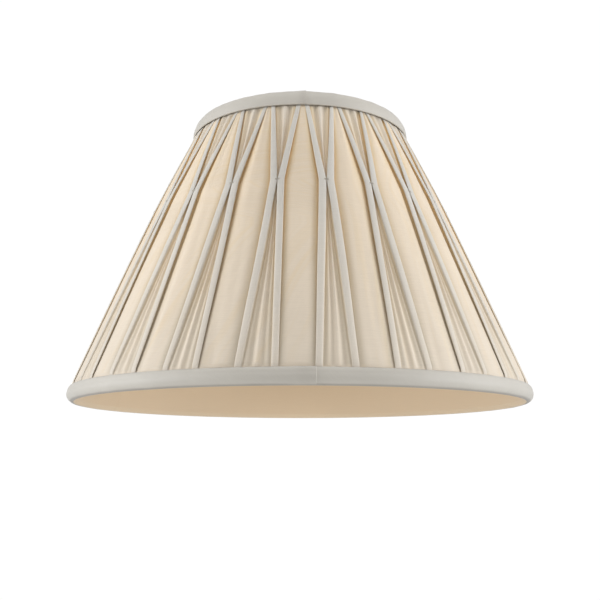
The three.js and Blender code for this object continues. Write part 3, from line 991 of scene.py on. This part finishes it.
def trim_section(centre, edge_along, side, trims):
    """(radius, height) outlines of a folded band's outside and inside, from its edge inwards."""
    bend = 0.0 if side < 0 else WALL.length
    t = np.linspace(0, 1, FACE_ROWS + 1)[:-1]
    if side < 0:
        crown, shoulder = trims.crown * np.sin(math.pi * t), 0.0
    else:
        # The top band stands nearly upright, with a full shoulder.
        crown = blend(trims.flare, trims.shoulder, t) + trims.bulge * np.sin(math.pi * t)
        shoulder = trims.shoulder
    turn = np.linspace(0, 1, TURN_ROWS)
    square = shoulder * (1 - turn) ** 3.5
    outlines = []
    for reach in (FACE, FACE - trims.thickness):
        face = WALL.point(blend(edge_along, bend, t), reach + crown)
        arc = wire_arc(centre, reach + square, WALL.lean, side * trims.turn, TURN_ROWS)
        outlines.append(np.concatenate([face, arc]))
    return outlines


def trim_mesh(name, centre, edge_along, side, trims, seed, material):
    """A band folded round a ring, with small puckers and its ends lapped at the join."""
    outer, inner = trim_section(centre, edge_along, side, trims)
    even = np.linspace(0, 2 * math.pi, BAND_COLUMNS, endpoint=False) + trims.join + BAND_GAP
    angles = np.concatenate([even, [trims.join + 2 * math.pi - BAND_GAP]])
    rows = len(outer)
    pucker = ripple(angles - trims.join, np.linspace(0, 1, rows), seed, BAND_WAVES) * trims.pucker
    pucker *= np.sin(np.linspace(0.15, 1, rows) * math.pi * 0.9)[:, None] ** 0.5
    # The lap fades in along the band and ends sharply at the join.
    before = (trims.join + 2 * math.pi - angles) / trims.lap_angle
    lap = trims.lap * smooth_step(1.6 * (1 - before)) * (before < 1)
    middle = np.asarray(centre)
    away = outer - np.where(np.arange(rows)[:, None] < FACE_ROWS, outer - WALL.outward, middle)
    away = away / np.linalg.norm(away, axis=1)[:, None]
    lift = pucker + lap[None, :]
    skin = outer[:, None, :] + away[:, None, :] * lift[..., None]
    back = np.broadcast_to(inner[:, None, :], skin.shape)
    loop = np.concatenate([skin, back[::-1], skin[:1]])
    loop[..., 1] = np.clip(loop[..., 1], 0, WALL.height - trims.lap + lap)
    run = run_along(loop[:, 0])
    flat = np.stack(np.broadcast_arrays(angles[None, :] * centre[0], run[:, None]), -1)
    places = round_places(loop, angles)
    mesh = grid_mesh(name, places, flat, material, round_about=True)
    # The turn under the bottom ring is in shadow, and so is the doubled cloth beside the join.
    turned = np.clip(np.arange(len(loop)) / (rows - 1), 0, 1)[:, None]
    under = smooth_step((turned - SHADOW_START) / SHADOW_FADE) * (side < 0)
    patch = PATCH[side] * np.exp(-((before - 0.25) / 0.3) ** 2)[None, :]
    add_values(mesh, "shadow", np.maximum(under, patch))
    return close_up(mesh), float(run[rows - 1])


def close_up(mesh, merge=1e-6):
    """Merges a mesh's doubled places, fills its open ends and turns its faces outwards."""
    work = bmesh.new()
    work.from_mesh(mesh)
    bmesh.ops.remove_doubles(work, verts=work.verts, dist=merge)
    bmesh.ops.holes_fill(work, edges=[edge for edge in work.edges if edge.is_boundary], sides=0)
    bmesh.ops.triangulate(work, faces=[face for face in work.faces if len(face.verts) > 4])
    bmesh.ops.recalc_face_normals(work, faces=work.faces)
    work.to_mesh(mesh)
    work.free()
    mesh.shade_smooth()
    mesh.set_sharp_from_angle(angle=math.radians(60))
    return mesh


class LAMPSHADE_OT_trims(bpy.types.Operator):
    """Makes the two bias-cut bands, folded round the rings over the ends of the cover"""

    bl_idname = "lampshade.trims"
    bl_label = "Trims"

    def execute(self, context):
        trims = context.scene.shade_trims
        material = trim_finish(context.scene.shade_finishes)
        ends = (
            ("bottom_trim", WALL.bottom, LOW_EDGE, -1, 11),
            ("top_trim", WALL.top, HIGH_EDGE - trims.hang, 1, 12),
        )
        for node, centre, edge, side, seed in ends:
            mesh, deep = trim_mesh(f"{node}_band", centre, edge, side, trims, seed, material)
            band = settle(add_piece(f"{node}_band", mesh), "shade", "trim_silk", node)
        return {"FINISHED"}


# ---- Lining ----

LINING_SEAM = math.radians(67.5)  # right of the front: the panels meet over two opposite struts
LINING = (2.85 * MM, 2.4 * MM)  # how far inwards its inner and outer faces lie
LINING_ROWS, RING_ROWS = 30, 12  # up the wall, and round each ring
LOW_TURN, HIGH_TURN = math.radians(273), math.radians(87)  # where it ends on the rings, from level
LOW_FLARE, HIGH_FLARE = 1.0 * MM, 0.6 * MM  # how far out it comes there, to meet the trims' edges
LINING_GAP = 0.04 * MM  # from a seam to each half's end, at the top ring
LINING_WAVE, LINING_WAVES = 0.18 * MM, 26  # height and most number of its faint waves
SEAM, SEAM_ANGLE = 0.15 * MM, 0.009  # height and half width of the allowance rolled in along a seam
LINING_RADIUS = 90 * MM  # where its cloth is neither stretched nor gathered round the shade


def lining_section():
    """(radius, height) places of the lining's inner face and outer face, turned over both rings."""
    inward = WALL.lean + math.pi
    t = np.linspace(0, 1, LINING_ROWS)[1:-1]
    low_flare = LOW_FLARE * (1 - smooth_step(np.linspace(0, 1.6, RING_ROWS)))
    high_flare = HIGH_FLARE * smooth_step(np.linspace(-0.6, 1, RING_ROWS))

    def face(reach):
        low = wire_arc(WALL.bottom, reach + low_flare, LOW_TURN, inward, RING_ROWS)
        high = wire_arc(WALL.top, reach + high_flare, inward, HIGH_TURN, RING_ROWS)
        return np.concatenate([low, WALL.point(t * WALL.length, -reach), high])

    return [face(reach) for reach in LINING]


def lining_mesh(name, start, material, seed):
    """One half of the lining, from seam to seam, with faint tension waves and a rolled seam."""
    inner, outer = lining_section()
    gap = LINING_GAP / WALL.top[0]
    # The columns are closest together along the seams.
    fine = np.concatenate([[0, 0.003, 0.009, 0.018, 0.03], np.linspace(0.05, math.pi / 2, 46)])
    turn = np.concatenate([fine, (math.pi - fine)[-2::-1]])
    turn = np.clip(turn, gap, math.pi - gap)
    angles = start + turn
    level = np.linspace(0, 1, len(inner))
    waves = ripple(angles, level, seed, LINING_WAVES) * LINING_WAVE * np.sin(level * math.pi)[:, None]
    edge = np.minimum(turn, math.pi - turn)
    seam = SEAM * np.exp(-((edge / SEAM_ANGLE) ** 2))
    seam = seam[None, :] * smooth_step(np.sin(level * math.pi) * 4)[:, None]
    inward = -np.broadcast_to(WALL.outward, inner.shape)
    skin = inner[:, None, :] + inward[:, None, :] * (waves + seam)[..., None]
    back = np.broadcast_to(outer[:, None, :], skin.shape)
    run = run_along(inner)
    flat = np.stack(np.broadcast_arrays(angles[None, :] * LINING_RADIUS, run[:, None]), -1)
    flats = np.concatenate([flat, flat[::-1], flat[:1]])
    places = round_places(np.concatenate([skin, back[::-1], skin[:1]]), angles)
    mesh = close_up(grid_mesh(name, places, flats, material), 1e-7)
    return mesh, float(run[-1])


class LAMPSHADE_OT_lining(bpy.types.Operator):
    """Makes the lining: two halves inside the struts, turned over both rings"""

    bl_idname = "lampshade.lining"
    bl_label = "Lining"

    def execute(self, context):
        material = lining_finish(context.scene.shade_finishes)
        halves = (
            ("lining_panel_back", LINING_SEAM, 21),
            ("lining_panel_front", LINING_SEAM + math.pi, 22),
        )
        for node, start, seed in halves:
            mesh, deep = lining_mesh(f"{node}_cloth", start, material, seed)
            half = settle(add_piece(f"{node}_cloth", mesh), "shade", "lining_cloth", node)
        return {"FINISHED"}


# ---- Wire frame and fitter ----


class LAMPSHADE_OT_wire_frame(bpy.types.Operator):
    """Finishes the rings, the struts and the cotton tape bound round the rings"""

    bl_idname = "lampshade.wire_frame"
    bl_label = "Wire Frame"

    def execute(self, context):
        look = context.scene.shade_finishes
        coat = grained_finish("white coated wire", look.coat, 0.4, 1500, 0.02 * MM, 0.04)
        tape = grained_finish("cotton tape", look.tape, 0.85, 2500, 0.05 * MM, 0.05)
        struts = sorted(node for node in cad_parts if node.startswith("strut_"))
        for node in ("bottom_ring", "top_ring", *struts):
            softened(node, "coated_wire", coat, "shade", crease=60)
        for node in ("bottom_ring_tape", "top_ring_tape"):
            softened(node, "cotton_tape", tape, "shade", crease=60)
        return {"FINISHED"}


class LAMPSHADE_OT_fitter(bpy.types.Operator):
    """Finishes the gimbal: brackets, rivets, arms, carrier ring and reducer ring"""

    bl_idname = "lampshade.fitter"
    bl_label = "Gimbal Fitter"

    def execute(self, context):
        look = context.scene.shade_finishes
        coat = grained_finish("white coated steel", look.coat, 0.35, 1200, 0.02 * MM, 0.04)
        plated = grained_finish("plated rivet", look.rivet, 0.3, 3000, 0.01 * MM, 0.05, Metallic=1.0)
        plastic = grained_finish("moulded plastic", look.plastic, 0.42, 900, 0.015 * MM, 0.03)
        for side in ("right", "left"):
            softened(f"gimbal_bracket_{side}", "coated_wire", coat, "shade", 0.3 * MM)
            softened(f"pivot_rivet_{side}", "rivet_steel", plated, "shade", 0.25 * MM)
            softened(f"gimbal_arm_{side}", "coated_wire", coat, "gimbal", 0.3 * MM)
        softened("carrier_ring", "coated_wire", coat, "gimbal", 0.3 * MM)
        softened("reducer_ring", "white_plastic", plastic, "reducer", 0.25 * MM)
        return {"FINISHED"}


# ---- Stage ----


BACKDROP = 1.02  # strength of the backdrop as the camera sees it: just over white


def area_light(name, place, target, size, watts, rgb):
    light = bpy.data.lights.new(name, "AREA")
    light.shape = "RECTANGLE"
    light.size, light.size_y = size
    light.energy = watts
    light.color = rgb
    made = add_piece(name, light)
    made.location = place
    made.rotation_euler = (Vector(target) - Vector(place)).to_track_quat("-Z", "Y").to_euler()


def make_floor(stage, tint):
    mesh = bpy.data.meshes.new("floor")
    work = bmesh.new()
    bmesh.ops.create_circle(work, cap_ends=True, segments=96, radius=stage.floor_radius)
    bmesh.ops.translate(work, verts=work.verts, vec=(0, 0, -stage.floor_drop))
    work.to_mesh(mesh)
    work.free()
    floor = add_piece("floor", mesh)
    finish = Finish("pale floor", 0.9, Specular_IOR_Level=0.1, Emission_Color=(1, 1, 1, 1))
    # Seen directly, the floor is as white as the backdrop. It lights the shade only by what it gets.
    glow = finish.times(finish.camera_ray(), stage.floor_glow)
    finish.put(finish.surface.inputs["Emission Strength"], glow)
    level = finish.span(finish.noise(finish.object_place(), 3.0), 0.995, 1.005)
    mesh.materials.append(finish.done(finish.shade(tint, level)))


def make_world(stage):
    """A plain white backdrop, which lights the shade with only part of its strength."""
    world = bpy.data.worlds.new("studio")
    world.use_nodes = True
    sky = Tree(world.node_tree)
    background = world.node_tree.nodes["Background"]
    background.inputs["Color"].default_value = (1, 1, 1, 1)
    strength = sky.scaled(sky.camera_ray(), BACKDROP - stage.sky, stage.sky)
    sky.put(background.inputs["Strength"], strength)
    return world


def make_camera(stage):
    camera = bpy.data.cameras.new("camera")
    camera.lens = stage.lens
    camera.sensor_width = 36
    camera.shift_y = stage.rise
    made = add_piece("camera", camera)
    made.location = (0, -stage.distance, stage.camera_height)
    made.rotation_euler = (math.pi / 2 + stage.tilt, 0, 0)
    return made


class LAMPSHADE_OT_stage(bpy.types.Operator):
    """Makes the floor, the soft lights and the camera"""

    bl_idname = "lampshade.stage"
    bl_label = "Stage"

    def execute(self, context):
        scene = context.scene
        stage = scene.shade_stage
        make_floor(stage, scene.shade_finishes.floor)
        scene.world = make_world(stage)
        scene.view_settings.view_transform = "Standard"
        middle = (0, 0, WALL.height / 2)
        for name, side in (("left", -1.0), ("right", 1.0)):
            area_light(name, (side, -0.25, 0.1), middle, (0.5, 0.8), stage.side_light, stage.cool)
        area_light("overhead", (0, -0.2, 1.1), middle, (0.9, 0.9), stage.top_light, (1, 1, 1))
        scene.camera = make_camera(stage)
        return {"FINISHED"}


# ---- Sidebar, registration and run ----


STEPS = (
    LAMPSHADE_OT_stage,
    LAMPSHADE_OT_cover,
    LAMPSHADE_OT_stitches,
    LAMPSHADE_OT_trims,
    LAMPSHADE_OT_lining,
    LAMPSHADE_OT_wire_frame,
    LAMPSHADE_OT_fitter,
)
GROUPS = {
    "shade_pleats": ShadePleats,
    "shade_trims": ShadeTrims,
    "shade_finishes": ShadeFinishes,
    "shade_stage": ShadeStage,
}


class LAMPSHADE_PT_sidebar(bpy.types.Panel):
    bl_idname = "LAMPSHADE_PT_sidebar"
    bl_label = "Lamp Shade"
    bl_space_type = "VIEW_3D"
    bl_region_type = "UI"
    bl_category = "Lamp Shade"

    def draw(self, context):
        for step in STEPS:
            self.layout.operator(step.bl_idname)
        for name, group in GROUPS.items():
            box = self.layout.box()
            for field in group.__annotations__:
                box.prop(getattr(context.scene, name), field)


def register():
    for name, group in GROUPS.items():
        bpy.utils.register_class(group)
        setattr(bpy.types.Scene, name, PointerProperty(type=group))
    for step in STEPS:
        bpy.utils.register_class(step)
    bpy.utils.register_class(LAMPSHADE_PT_sidebar)


def unregister():
    bpy.utils.unregister_class(LAMPSHADE_PT_sidebar)
    for step in reversed(STEPS):
        bpy.utils.unregister_class(step)
    for name, group in GROUPS.items():
        delattr(bpy.types.Scene, name)
        bpy.utils.unregister_class(group)


def main():
    register()
    for step in STEPS:
        group, name = step.bl_idname.split(".")
        if getattr(getattr(bpy.ops, group), name)() != {"FINISHED"}:
            raise RuntimeError(f"{step.bl_label} wasn't made")


if __name__ == "__main__":
    main()
